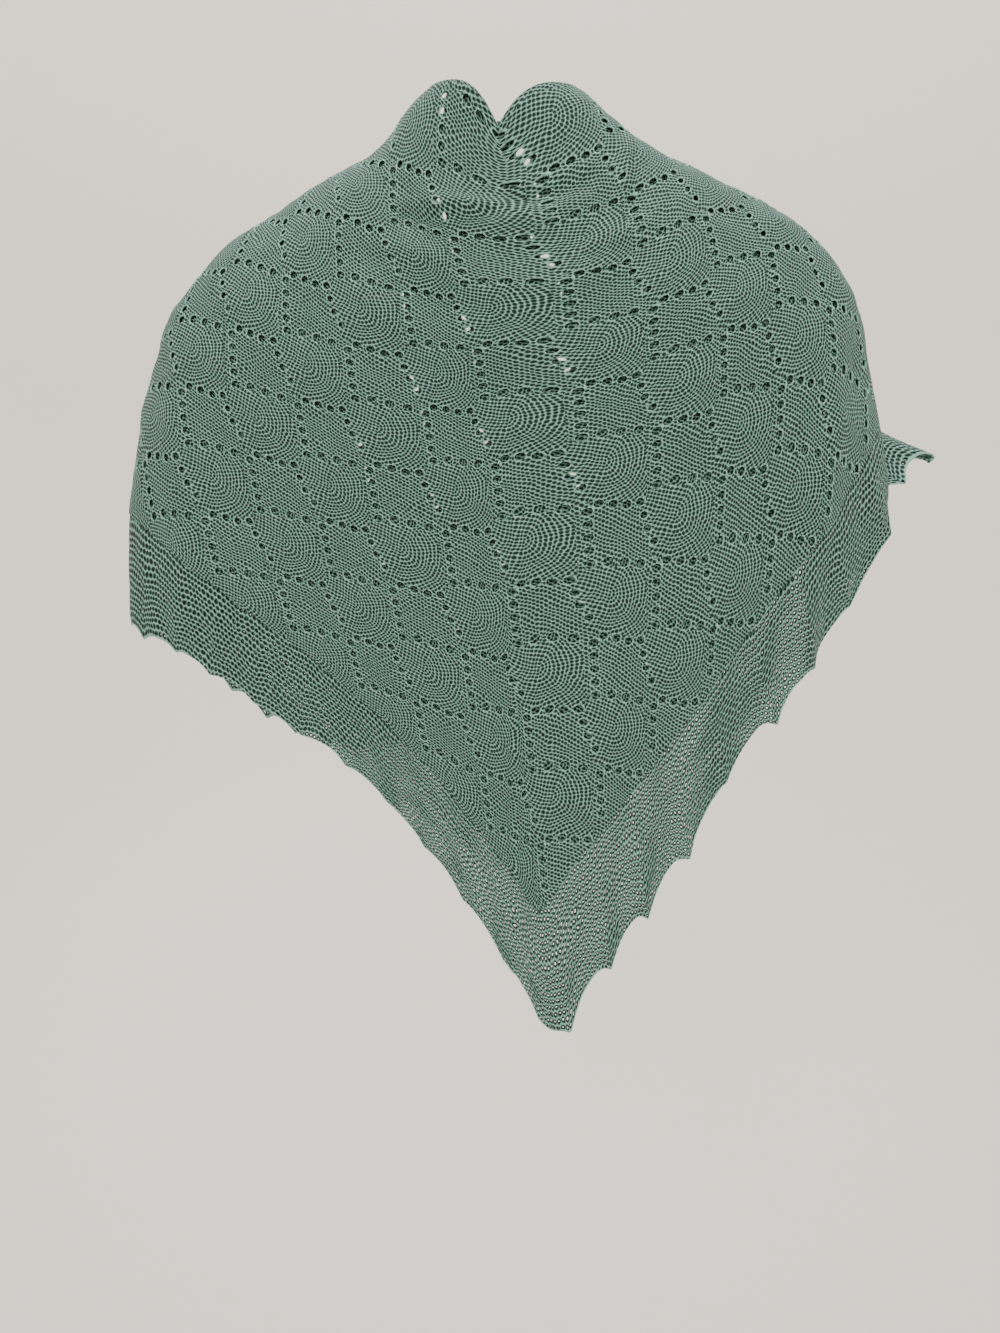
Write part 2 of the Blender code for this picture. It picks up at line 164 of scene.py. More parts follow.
# Soft folds, as ridges over the body.
# Columns: distance round at the start, reach at the start, the same two at the end,
# sag of the middle, half width, height
FOLDS = (
    (-0.085, 0.052, 0.080, 0.050, 0.012, 0.010, 0.0040),
    (-0.100, 0.092, 0.110, 0.082, 0.018, 0.012, 0.0034),
    (-0.070, 0.138, 0.120, 0.118, 0.014, 0.013, 0.0026),
    (-0.250, 0.180, -0.215, 0.360, 0.004, 0.020, 0.0040),
    (0.265, 0.200, 0.240, 0.380, 0.004, 0.020, 0.0036),
    (-0.430, 0.150, -0.400, 0.330, 0.004, 0.020, 0.0060),
    (-0.520, 0.200, -0.480, 0.400, 0.004, 0.022, 0.0070),
    (0.430, 0.220, 0.400, 0.440, 0.004, 0.020, 0.0060),
    (0.520, 0.260, 0.480, 0.480, 0.004, 0.022, 0.0070),
    (-0.060, 0.380, -0.050, 0.560, 0.004, 0.024, 0.0040),
    (0.050, 0.330, 0.020, 0.520, 0.004, 0.024, 0.0036),
)

# Creases at the nape, each a trough under a ridge.
# Columns: as for the soft folds, with the depth in place of the height
CREASES = (
    (0.090, 0.078, -0.010, 0.054, 0.002, 0.0055, 0.0038),
    (0.010, 0.041, -0.075, 0.051, -0.003, 0.0065, 0.0032),
    (-0.100, 0.044, -0.075, 0.080, 0.002, 0.0060, 0.0024),
    (0.110, 0.108, 0.035, 0.096, 0.002, 0.0065, 0.0018),
    (-0.030, 0.090, -0.110, 0.100, 0.003, 0.0070, 0.0018),
)

# Share of a fold's or crease's length in which it grows, and gain of a crease's depth
FOLD_TAPER = 0.3
CREASE_GAIN = 1.6

# Small uneven swell of the knitting, as two crossing waves in each row.
# Columns: height, then for each of the two waves its radians a metre, the bend in it,
# the bend's own radians a metre, and the bend's start
SWELLS = (
    (0.0010, 61, 1.3, 37, 0, 53, 0.9, 29, 1),
    (0.0005, 143, 2.0, 71, 2, 117, 1.7, 83, 0),
)

# Points of the edge, for the wearer's right and left half: how many, how deep, where the
# peak lies in one, how hollow its sides are, and how far it curls
POINTS = {
    -1: {"count": 18, "depth": 0.0185, "peak": 0.36, "hollow": 2.1, "curl": 0.0045},
    1: {"count": 23, "depth": 0.0080, "peak": 0.50, "hollow": 2.0, "curl": 0.0020},
}

# Unevenness of the points: least share of the depth, share that is added, and the
# change from point to point in radians
POINT_LEAST = 0.85
POINT_MORE = 0.30
POINT_TURN = 2.3

# Curl and flute of the border: share of the width where each starts, and its phase;
# then the share of the width that the yarn along the edge takes
CURL_START = 0.80
CURL_TURN = 2.4
CURL_LAG = 0.6
FLUTE_START = 0.3
FLUTE_LAG = 0.8
FLUTE_SHARE = 0.30
EDGE_YARN = 0.06

# Eyelets round one leaf, in steps of the fine grid from the leaf's corner.
# Columns: step along, step down, radius in millimetres
EYELETS = (
    (3, 0, 3.1),
    (8, 0, 3.3),
    (13, 1, 3.3),
    (18, 2, 3.2),
    (23, 4, 3.0),
    (23, 8, 2.9),
    (23, 12, 2.9),
    (23, 16, 2.9),
    (6, 22, 2.8),
    (10, 23, 2.9),
    (14, 24, 2.9),
    (18, 24, 2.8),
    (-1, 8, 2.4),
    (0, 12, 2.6),
    (2, 16, 2.5),
)

# Eyelets: steps that stay whole along the lace's edges, height as a share of the width,
# how far their rims are raised, and the unit of their radius
EYELET_MARGIN = 3
EYELET_SQUASH = 0.92
RIM_RAISE = 0.0005
MILLIMETRE = 0.001

# The two layers: shift of the leaves in steps of the fine grid, and openness of the eyelets
OUTER_SHIFT = (0, 0)
OUTER_OPENNESS = 1.07
INNER_SHIFT = (22, 7)
INNER_OPENNESS = 0.82

# One leaf in its repeat, across from the outer corner and down from the top.
# Each edge has its place, and its change with the other distance
LEAF_TOP = (0.02, 0.14)
LEAF_BOTTOM = (1.02, 0.18)
LEAF_NEAR = (-0.14, 0.22)
LEAF_FAR = (1.14, 0.0)
LEAF_MIDDLE = (0.46, 0.62)
LEAF_SWELL = 0.0010

# Knitting: pitch of the stitches along and across a row, and the slant of the rows
STITCH_LONG = 0.00245
STITCH_WIDE = 0.00225
MESH_WIDE = 0.0035
PLAIN_SLANT = math.radians(33.0)
LEAF_SLANT = math.radians(24.0)

# Yarn colours: painted shade deep in a gap, the colour on the side of a strand, and a painted
# highlight on its top; and where each lies as a share of the highest strand
GAP_SHADE = (0.004, 0.016, 0.011, 1.0)
STRAND = (0.076, 0.174, 0.140, 1.0)
STRAND_HIGHLIGHT = (0.262, 0.480, 0.405, 1.0)
# The inner layer is the same yarn painted a little lighter, lifting the shade on it behind the
# eyelets
LIFTED_INNER_STRAND = (0.085, 0.190, 0.153, 1.0)
LIFTED_INNER_HIGHLIGHT = (0.285, 0.505, 0.428, 1.0)
STRAND_END = 2.0
GAP_SHADE_END = 0.36
STRAND_MIDDLE = 0.50
HIGHLIGHT_START = 0.66

# Yarns.
# Columns: strand, its top with a painted highlight, half a gap along a row and across it, clear
# part of a gap
YARNS = {
    "lace_yarn": (STRAND, STRAND_HIGHLIGHT, 0.46, 0.41, 0.0),
    "inner_yarn": (LIFTED_INNER_STRAND, LIFTED_INNER_HIGHLIGHT, 0.46, 0.41, 0.0),
    "border_yarn": (STRAND, STRAND_HIGHLIGHT, 0.47, 0.42, 0.41),
}

# Noises on the stitch map.
# Columns: scale, detail, and how much the noise does
NOISES = {
    "wobble": (0.45, 2.0, 0.9),
    "sway": (0.11, 1.0, 3.0),
    "blotch": (0.05, 3.0, 0.30),
    "twist": (1.1, 2.0, 0.5),
    "fibre": (5.0, 3.0, 0.25),
}

# Yarn: darkest value, ring round an eyelet that is raised in the bump and painted with the
# highlight colour, bump and finish
LEAST_VALUE = 0.61
RING_GAIN = 1.6
RING_START = -0.85
HEIGHT_CAP = 1.6
BUMP_STRENGTH = 0.8
BUMP_DISTANCE = 0.0007
ROUGHNESS = 0.78
SPECULAR = 0.3
SHEEN = 0.05
SHEEN_ROUGHNESS = 0.5

# Floor: flat out to a radius, then a quarter circle up into a wall
FLOOR_DROP = 1.42
FLOOR_INNER = 1.2
FLOOR_FLAT = 2.4
FLOOR_CURVE = 1.2
FLOOR_TOP = 4.0
FLOOR_TURNS = 64
FLOOR_ARC_STEPS = 12
FLOOR_COLOUR = (0.86, 0.82, 0.76, 1.0)
FLOOR_ROUGHNESS = 0.9

# Square lights.
# Columns: place, point that it faces, size, watts, colour
LIGHTS = {
    "key": ((0.5, 2.3, 1.5), (0, 0, -0.3), 1.3, 50, (1.0, 0.99, 0.96)),
    "fill": ((-1.5, 1.7, 0.5), (0, 0, -0.3), 1.8, 9, (0.95, 0.98, 1.0)),
    "front": ((0.3, -2.0, 1.4), (0, 0, -0.2), 1.8, 22, (1.0, 1.0, 1.0)),
    "backdrop": ((0.0, -0.9, 2.6), (0, -3.4, -0.9), 2.4, 125, (1.0, 0.975, 0.93)),
}

# Even light from all round
SKY_COLOUR = (0.92, 0.95, 1.0, 1.0)
SKY_STRENGTH = 0.42

# Camera at the photo's place: its lens, where it is, and how far it looks down
LENS = 27.04
EYE = (0.011, 0.775, -0.11)
LOOK_DOWN = math.radians(18.0)
NEAREST = 0.05

# Fine tables of the rings: steps down, steps round, and steps along the cloth up to the
# farthest that it reaches; then half the step that finds the rings' slope
REACH_STEPS = 288
TURN_STEPS = 1440
AROUND_STEPS = 1600
FARTHEST = 0.80
REACHES = np.linspace(0.0, RINGS[-1, 0], REACH_STEPS + 1)
TURNS = np.radians(np.linspace(-180.0, 180.0, TURN_STEPS + 1))
AROUNDS = np.linspace(-FARTHEST, FARTHEST, AROUND_STEPS + 1)
BACK = len(TURNS) // 2
SIDE_STEP = 0.002


def smooth(table, at):
    """Smooth curve through a table's rows, placed by its first column."""
    place = table[:, 0]
    at = np.clip(np.asarray(at, float), place[0], place[-1])
    row = np.clip(np.searchsorted(place, at, side="right") - 1, 0, len(place) - 2)
    step = (place[row + 1] - place[row])[..., None]
    t = (at[..., None] - place[row][..., None]) / step
    slope = np.gradient(table[:, 1:], place, axis=0)
    start = table[row, 1:]
    end = table[row + 1, 1:]
    rise = 3 * t ** 2 - 2 * t ** 3
    leave = (t - 2 * t ** 2 + t ** 3) * step * slope[row]
    arrive = (t ** 3 - t ** 2) * step * slope[row + 1]
    return start + (end - start) * rise + leave + arrive


def ease(t):
    """Soft step from 0 to 1."""
    t = np.clip(t, 0.0, 1.0)
    return t * t * (3 - 2 * t)


def unit(v):
    """Vectors scaled to length 1."""
    return v / np.linalg.norm(v, axis=-1, keepdims=True)


def ring_point(reach, turn):
    """Point of the body form at a reach and a turn from the back."""
    columns = np.moveaxis(smooth(RINGS, reach), -1, 0)
    left_x, left_z, right_x, right_z, back_y, back_z, front_y, front_z = columns[:8]
    squareness, dip, notch = columns[8:]
    side = np.sin(turn)
    along = np.cos(turn)
    power = 2 / squareness
    x = np.where(side > 0, left_x, right_x) * np.sign(side) * np.abs(side) ** power
    y = np.where(along > 0, back_y, front_y) * np.sign(along) * np.abs(along) ** power
    middle_z = np.where(along > 0, back_z, front_z)
    side_z = np.where(side > 0, left_z, right_z)
    rise = 1 - (1 - np.abs(side) ** dip) ** notch
    shift = COLLAR_LEAN * np.clip(1 - reach / COLLAR_REACH, 0.0, 1.0)
    return np.stack([x + shift, y, middle_z + (side_z - middle_z) * rise], -1)


def ring_tables():
    """Distance round each fine ring by turn, and turn by distance round."""
    grid = ring_point(REACHES[:, None] + 0 * TURNS, TURNS + 0 * REACHES[:, None])
    steps = np.linalg.norm(np.diff(grid, axis=1), axis=2)
    arcs = np.concatenate([np.zeros((len(REACHES), 1)), np.cumsum(steps, axis=1)], axis=1)
    arcs -= arcs[:, BACK:BACK + 1]
    turns = np.array([np.interp(AROUNDS, row, TURNS) for row in arcs])
    return arcs, turns


ARC_BY_TURN, TURN_BY_ARC = ring_tables()


def look_up(table, columns, reach, at):
    """Value of a fine table at a reach and a place along its columns."""
    place = np.clip(reach / REACHES[-1], 0.0, 1.0) * (len(REACHES) - 1)
    row = np.minimum(place.astype(int), len(REACHES) - 2)
    past = place - row
    spot = (at - columns[0]) / (columns[-1] - columns[0]) * (len(columns) - 1)
    spot = np.clip(spot, 0.0, len(columns) - 1)
    column = np.minimum(spot.astype(int), len(columns) - 2)
    across = spot - column
    upper = table[row, column] * (1 - across) + table[row, column + 1] * across
    lower = table[row + 1, column] * (1 - across) + table[row + 1, column + 1] * across
    return upper * (1 - past) + lower * past


def chart(f, d):
    """Distance round the body and reach, for flat distances along and from the fold."""
    share = f / DEPTH
    t = np.clip(d / np.maximum(DEPTH - np.abs(f), TINY), 0.0, CHART_END)
    edge = smooth(FOLD_EDGE, share)
    hem = smooth(HEM, share)
    top_reach = edge[..., 1]
    top_around = look_up(ARC_BY_TURN, TURNS, top_reach, np.radians(edge[..., 0]))
    meet = ease((np.abs(share) - TIP_START) / (1 - TIP_START))
    hem_around = hem[..., 0] + (top_around - hem[..., 0]) * meet
    hem_reach = hem[..., 1] + (top_reach - hem[..., 1]) * meet
    fall = t - hem[..., 2] * np.sin(math.pi * np.minimum(t, 1.0)) ** SLACK_POWER
    around = top_around + (hem_around - top_around) * t
    reach = top_reach + (hem_reach - top_reach) * fall
    return around, reach, t


def fold_place(row, around, reach):
    """Distance across a fold in half widths, and how far the fold has grown there."""
    around_a, reach_a, around_b, reach_b, sag, half = row[:6]
    run = np.array((around_b - around_a, reach_b - reach_a))
    length = math.hypot(run[0], run[1])
    run = run / length
    along = (around - around_a) * run[0] + (reach - reach_a) * run[1]
    across = (reach - reach_a) * run[0] - (around - around_a) * run[1]
    place = along / length
    bow = sag * 4 * place * (1 - place)
    return (across - bow) / half, ease(place / FOLD_TAPER) * ease((1 - place) / FOLD_TAPER)


def stand(share, around, reach, t):
    """Distance that the cloth stands out from the body form."""
    out = np.zeros_like(around)
    for middle, half, height, start in FLARES:
        bell = ease(1 - np.abs(share - middle) / half)
        out += height * bell * np.clip((t - start) / (1 - start), 0.0, FLARE_END) ** 2
    for row in FOLDS:
        across, grown = fold_place(row, around, reach)
        out += row[6] * np.exp(-across ** 2) * grown
    for row in CREASES:
        across, grown = fold_place(row, around, reach)
        down = across * math.copysign(1.0, row[2] - row[0])
        out -= CREASE_GAIN * row[6] * down * np.exp(-across ** 2) * grown
    return out


def ripple(f, d):
    """Small uneven swell of hand-washed knitting."""
    out = np.zeros_like(f)
    for height, along, bend_a, quick_a, start_a, down, bend_d, quick_d, start_d in SWELLS:
        first = np.sin(f * along + bend_a * np.sin(d * quick_a + start_a))
        second = np.sin(d * down + bend_d * np.sin(f * quick_d + start_d))
        out += height * first * second
    return out


def cloth(f, d, inside=0.0):
    """Point of the draped cloth, with the way out of it, for flat distances."""
    f = np.asarray(f, float)
    d = np.asarray(d, float)
    around, reach, t = chart(f, d)
    turn = look_up(TURN_BY_ARC, AROUNDS, reach, around)
    above = np.maximum(reach - SIDE_STEP, 0)
    down = ring_point(reach + SIDE_STEP, turn) - ring_point(above, turn)
    round_body = ring_point(reach, turn + SIDE_STEP) - ring_point(reach, turn - SIDE_STEP)
    out = unit(np.cross(round_body, down))
    point = ring_point(reach, turn)
    away = stand(f / DEPTH, around, reach, t) + ripple(f, d)
    return point + out * (away - inside)[..., None], out


def eyelet_list(shift):
    """Grid place and radius of every eyelet in a layer, as three arrays."""
    found = {}
    cells = math.ceil(LACE_REPEATS) + 1
    for i in range(-cells, cells):
        for j in range(-1, cells):
            if (i + j) % 2:
                continue
            for along, down, radius in EYELETS:
                a = (i + 1) * GRID - along
                b = j * GRID + down
                a += shift[0]
                b += shift[1]
                if b < EYELET_MARGIN or abs(a) + b > LAST - EYELET_MARGIN:
                    continue
                found[a, b] = radius * MILLIMETRE
    keys = np.array(list(found))
    return keys[:, 0], keys[:, 1], np.array(list(found.values()))


class FlatLace:
    """A layer of the flat lace as a fine grid with its eyelets opened."""

    def __init__(self, shift, openness):
        self.shift = shift
        width = 2 * LAST + 1
        a, b = np.meshgrid(np.arange(-LAST, LAST + 1), np.arange(LAST + 1), indexing="ij")
        self.used = np.abs(a) + b <= LAST
        self.f = a * STEP
        self.d = b * STEP
        self.rim = np.zeros(a.shape)
        keep = np.ones((width - 1, LAST), bool)
        for at_a, at_b, radius in zip(*eyelet_list(shift)):
            column = at_a + LAST
            keep[column - 1:column + 1, at_b - 1:at_b + 1] = False
            self.open_eyelet(column, at_b, radius * openness)
        self.faces = self.face_list(keep)

    def open_eyelet(self, column, row, radius):
        """Move the eight points round an eyelet on to its edge."""
        middle_f = (column - LAST) * STEP
        middle_d = row * STEP
        for da in (-1, 0, 1):
            for db in (-1, 0, 1):
                if not da and not db:
                    continue
                place = (column + da, row + db)
                angle = math.atan2(db, da)
                self.f[place] = middle_f + radius * math.cos(angle)
                self.d[place] = middle_d + EYELET_SQUASH * radius * math.sin(angle)
                self.rim[place] = 1.0

    def face_list(self, keep):
        """Corners of each face as grid places, four or three to a face."""
        used = self.used
        full = used[:-1, :-1] & used[1:, :-1] & used[:-1, 1:] & used[1:, 1:] & keep
        quads = np.argwhere(full)
        corners = [(0, 0), (1, 0), (1, 1), (0, 1)]
        faces = [np.stack([quads + corner for corner in corners], 1)]
        for gone in range(4):
            rest = [corner for index, corner in enumerate(corners) if index != gone]
            held = keep.copy()
            for index, (da, db) in enumerate(corners):
                there = used[da:da + keep.shape[0], db:db + keep.shape[1]]
                held &= there if index != gone else ~there
            threes = np.argwhere(held)
            faces.append(np.stack([threes + corner for corner in rest], 1))
        return faces


def plain_place(f, d):
    """Distances along and across the slanting rows of plain knitting."""
    u = d * math.sin(PLAIN_SLANT) - f * math.cos(PLAIN_SLANT)
    v = d * math.cos(PLAIN_SLANT) + f * math.sin(PLAIN_SLANT)
    return u, v


def leaves_near(f, d):
    """Cells that a place may lie in, each with its distances across and down in the cell."""
    p = f / CELL
    q = d / CELL
    for back_i in (0, 1):
        for back_j in (0, 1):
            i = np.floor(p) - back_i
            j = np.floor(q) - back_j
            yield i, j, i + 1 - p, q - j


def edge_at(edge, other):
    """Place of a leaf's edge, for the distance along it."""
    return edge[0] + edge[1] * other


def leaf_place(f, d, middle_f, middle_d):
    """Stitch coordinates for corners of faces, from a leaf's middle or along slanting rows."""
    u, v = plain_place(f, d)
    leaf = np.zeros(middle_f.shape, bool)
    for i, j, x, y in leaves_near(middle_f, middle_d):
        inside = (i + j) % 2 == 0
        inside &= (y > edge_at(LEAF_TOP, x)) & (y < edge_at(LEAF_BOTTOM, x))
        inside &= (x < edge_at(LEAF_FAR, y)) & (x > edge_at(LEAF_NEAR, y))
        inside &= ~leaf
        leaf |= inside
        side = (i + 1 - LEAF_MIDDLE[0])[..., None] * CELL - f
        below = d - (j + LEAF_MIDDLE[1])[..., None] * CELL
        pick = inside[..., None]
        u = np.where(pick, side * math.cos(LEAF_SLANT) + below * math.sin(LEAF_SLANT), u)
        v = np.where(pick, below * math.cos(LEAF_SLANT) - side * math.sin(LEAF_SLANT), v)
    return u, v, leaf[..., None] + 0 * u


def share_between(place, first, last):
    """Share of the way from one edge to the other."""
    return np.clip((place - first) / (last - first), 0.0, 1.0)


def leaf_swell(f, d):
    """Height by which the close knitting of the leaves stands out."""
    swell = np.zeros(f.shape)
    for i, j, x, y in leaves_near(f, d):
        across = share_between(x, edge_at(LEAF_NEAR, y), edge_at(LEAF_FAR, y))
        down = share_between(y, edge_at(LEAF_TOP, x), edge_at(LEAF_BOTTOM, x))
        crown = 4 * across * (1 - across) * 4 * down * (1 - down)
        swell = np.maximum(swell, np.where((i + j) % 2 == 0, crown, 0.0))
    return LEAF_SWELL * np.sqrt(swell)


def new_piece(name, points, faces, uv, values, material, thickness):
    """Mesh object from arrays, with stitch coordinates and values on its points."""
    mesh = bpy.data.meshes.new(name)
    corners = np.concatenate([face.ravel() for face in faces])
    sizes = np.concatenate([np.full(len(face), face.shape[1]) for face in faces])
    starts = np.concatenate([[0], np.cumsum(sizes)[:-1]])
    mesh.vertices.add(len(points))
    mesh.vertices.foreach_set("co", points.astype(np.float32).ravel())
    mesh.loops.add(len(corners))
    mesh.loops.foreach_set("vertex_index", corners.astype(np.int32))
    mesh.polygons.add(len(sizes))
    mesh.polygons.foreach_set("loop_start", starts.astype(np.int32))
    mesh.update(calc_edges=True)
    mesh.validate()
    layer = mesh.uv_layers.new(name="stitches")
    layer.data.foreach_set("uv", (uv / STITCH_WIDE).astype(np.float32).ravel())
    for key, value in values.items():
        attribute = mesh.attributes.new(key, "FLOAT", "POINT")
        attribute.data.foreach_set("value", value.astype(np.float32))
    mesh.polygons.foreach_set("use_smooth", np.ones(len(sizes), bool))
    mesh.materials.append(material)
    piece = bpy.data.objects.new(name, mesh)
    bpy.context.scene.collection.objects.link(piece)
    if thickness:
        wall = piece.modifiers.new("wall", "SOLIDIFY")
        wall.thickness = thickness
        wall.offset = -1.0
    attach(piece, "root")
    return piece


def lace_piece(name, flat, first, last, inside, material, replaced):
    """One layer of lace between two distances along the fold."""
    kept = []
    uv = []
    nested = []
    for face in flat.faces:
        f = flat.f[face[..., 0], face[..., 1]]
        d = flat.d[face[..., 0], face[..., 1]]
        middle = (face[..., 0].min(axis=1) - LAST + 0.5) * STEP
        here = (middle > first) & (middle < last)
        face = face[here]
        f = f[here] - flat.shift[0] * STEP
        d = d[here] - flat.shift[1] * STEP
        u, v, leaf = leaf_place(f, d, f.mean(axis=1), d.mean(axis=1))
        kept.append(face[..., 0] * (LAST + 1) + face[..., 1])
        uv.append(np.stack([u, v], -1).reshape(-1, 2))
        nested.append(leaf.ravel())
    names, order = np.unique(np.concatenate([face.ravel() for face in kept]), return_inverse=True)
    f = flat.f.ravel()[names]
    d = flat.d.ravel()[names]
    rim = flat.rim.ravel()[names]
    points, outs = cloth(f, d, inside)
    raised = RIM_RAISE * rim
    raised += leaf_swell(f - flat.shift[0] * STEP, d - flat.shift[1] * STEP)
    points += outs * raised[:, None]
    faces = []
    start = 0
    for face in kept:
        faces.append(order[start:start + face.size].reshape(face.shape))
        start += face.size
    piece = new_piece(name, points, faces, np.concatenate(uv), {"rim": rim}, material, WALL)
    mark = piece.data.attributes.new("leaf", "FLOAT", "CORNER")
    mark.data.foreach_set("value", np.concatenate(nested).astype(np.float32))
    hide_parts(replaced)
    return piece


def point_depth(side, place):
    """Depth of the pointed edge at a place in number of points from the tip."""
    point = POINTS[side]
    peak = point["peak"]
    part = place % 1.0
    rise = np.where(part < peak, part / peak, (1 - part) / (1 - peak))
    uneven = POINT_LEAST + POINT_MORE * np.sin(POINT_TURN * np.floor(place)) ** 2
    return point["depth"] * uneven * rise ** point["hollow"]


def border_piece(name, side, start, end, material, replaced):
    """Border of open mesh knitting over a share of one side, with its pointed edge."""
    count = POINTS[side]["count"]
    columns = round((end - start) * DEPTH * math.sqrt(2) / STEP)
    station, height = np.meshgrid(np.linspace(start, end, columns + 1),
                                  np.linspace(0, 1, BORDER_STEPS + 1), indexing="ij")
    scale = 1 + height * (DEPTH / LACE - 1)
    scale += height * point_depth(side, station * count) / DEPTH
    f = side * LACE * station * scale
    d = LACE * (1 - station) * scale
    points, outs = cloth(f, d)
    tip = point_depth(side, station * count) / POINTS[side]["depth"]
    curl = ease((height - CURL_START) / (1 - CURL_START)) * tip
    curl *= np.sin(CURL_TURN * station * count + CURL_LAG)
    flute = ease((height - FLUTE_START) / (1 - FLUTE_START))
    flute *= np.sin(2 * math.pi * station * count + FLUTE_LAG)
    points += outs * (POINTS[side]["curl"] * (curl + FLUTE_SHARE * flute))[..., None]
    index = np.arange(station.size).reshape(station.shape)
    loop = [index[:-1, :-1], index[1:, :-1], index[1:, 1:], index[:-1, 1:]]
    if side < 0:
        loop = loop[::-1]
    faces = np.stack(loop, -1).reshape(-1, 4)
    flat_u = station * DEPTH * math.sqrt(2)
    flat_v = (DEPTH - LACE) / math.sqrt(2) * height
    uv = np.stack([flat_u.ravel()[faces], flat_v.ravel()[faces]], -1) * STITCH_WIDE / MESH_WIDE
    # The yarn along the edge counts as a rim: raised in the bump and painted with the highlight
    # colour
    rim = ease((height.ravel() - (1 - EDGE_YARN)) / EDGE_YARN)
    piece = new_piece(name, points.reshape(-1, 3), [faces], uv.reshape(-1, 2),
                      {"rim": rim}, material, WALL)
    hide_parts(replaced)
    return piece


def fold_piece(name, first, last, material, replaced):
    """Rounded fold along the top edge between two distances along it."""
    count = round((last - first) / STEP)
    f = np.linspace(first, last, count + 1)
    top, out = cloth(f, 0 * f)
    below, _ = cloth(f, 0 * f + STEP)
    up = top - below
    up = unit(up - out * (up * out).sum(-1, keepdims=True))
    centre = top - out * FOLD_RADIUS
    angles = np.linspace(0, math.pi, FOLD_STEPS + 1)
    points = (centre[:, None] + FOLD_RADIUS * (out[:, None] * np.cos(angles)[:, None]
                                               + up[:, None] * np.sin(angles)[:, None]))
    index = np.arange(points.shape[0] * points.shape[1]).reshape(points.shape[:2])
    loop = (index[:-1, :-1], index[:-1, 1:], index[1:, 1:], index[1:, :-1])
    faces = np.stack(loop, -1).reshape(-1, 4)
    u = f[:, None] + 0 * angles
    v = -FOLD_RADIUS * angles + 0 * u
    along, across = plain_place(u, v)
    uv = np.stack([along.ravel()[faces], across.ravel()[faces]], -1)
    piece = new_piece(name, points.reshape(-1, 3), [faces], uv.reshape(-1, 2),
                      {"rim": np.zeros(points.size // 3)}, material, 0)
    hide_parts(replaced)
    return piece


def math_node(tree, operation, a, b=None, c=None):
    """Math node with values or sockets as its inputs, and its output."""
    node = tree.nodes.new("ShaderNodeMath")
    node.operation = operation
    for socket, value in zip(node.inputs, (a, b, c)):
        if value is None:
            continue
        if isinstance(value, (int, float)):
            socket.default_value = value
        else:
            tree.links.new(value, socket)
    return node.outputs[0]


def blend_node(tree, share, first, second):
    """Value between two sockets by a share, and its output."""
    return math_node(tree, "MULTIPLY_ADD", share, math_node(tree, "SUBTRACT", second, first), first)


def attribute_node(tree, name):
    """Value of a mesh attribute."""
    node = tree.nodes.new("ShaderNodeAttribute")
    node.attribute_name = name
    return node.outputs["Fac"]


def noise_node(tree, stitches, kind):
    """Noise on the stitch map."""
    node = tree.nodes.new("ShaderNodeTexNoise")
    node.inputs["Scale"].default_value = NOISES[kind][0]
    node.inputs["Detail"].default_value = NOISES[kind][1]
    tree.links.new(stitches, node.inputs["Vector"])
    return node


def moved_node(tree, stitches, kind, vector):
    """Coordinates that a noise on the stitch map moves."""
    node = tree.nodes.new("ShaderNodeVectorMath")
    node.operation = "MULTIPLY_ADD"
    amount = NOISES[kind][2]
    tree.links.new(noise_node(tree, stitches, kind).outputs["Color"], node.inputs[0])
    node.inputs[1].default_value = (amount, amount, 0.0)
    tree.links.new(vector, node.inputs[2])
    return node.outputs[0]


def added_noise(tree, stitches, kind, value):
    """Value with a noise on the stitch map added to it."""
    noise = noise_node(tree, stitches, kind).outputs["Fac"]
    return math_node(tree, "MULTIPLY_ADD", noise, NOISES[kind][2], value)


def from_middle(tree, place, half):
    """Square of the distance from the middle of a stitch, in half widths of its gap."""
    part = math_node(tree, "SUBTRACT", math_node(tree, "FRACT", place), 0.5)
    part = math_node(tree, "DIVIDE", part, half)
    return math_node(tree, "MULTIPLY", part, part)


def gap_distance(tree, x, y, gap_long, gap_wide):
    """Distance from the middle of a gap, with rows that bend into nested arcs in a leaf."""
    nested = attribute_node(tree, "leaf")
    bent = math_node(tree, "MAXIMUM", x, 0.0)
    straight = math_node(tree, "MAXIMUM", math_node(tree, "MULTIPLY", x, -1.0), 0.0)
    squares = math_node(tree, "MULTIPLY_ADD", y, y, math_node(tree, "MULTIPLY", bent, bent))
    down = blend_node(tree, nested, y, math_node(tree, "SQRT", squares))
    row = math_node(tree, "FLOOR", down)
    angle = math_node(tree, "ARCTAN2", y, bent)
    arc = math_node(tree, "MULTIPLY", angle, math_node(tree, "ADD", row, 0.5))
    arc = math_node(tree, "MULTIPLY_ADD", math_node(tree, "SIGN", y), straight, arc)
    along = blend_node(tree, nested, x, arc)
    along = math_node(tree, "MULTIPLY", along, STITCH_WIDE / STITCH_LONG)
    brick = math_node(tree, "MULTIPLY_ADD", row, 0.5, along)
    square_long = from_middle(tree, brick, gap_long)
    square_wide = from_middle(tree, down, gap_wide)
    return math_node(tree, "SQRT", math_node(tree, "ADD", square_long, square_wide))


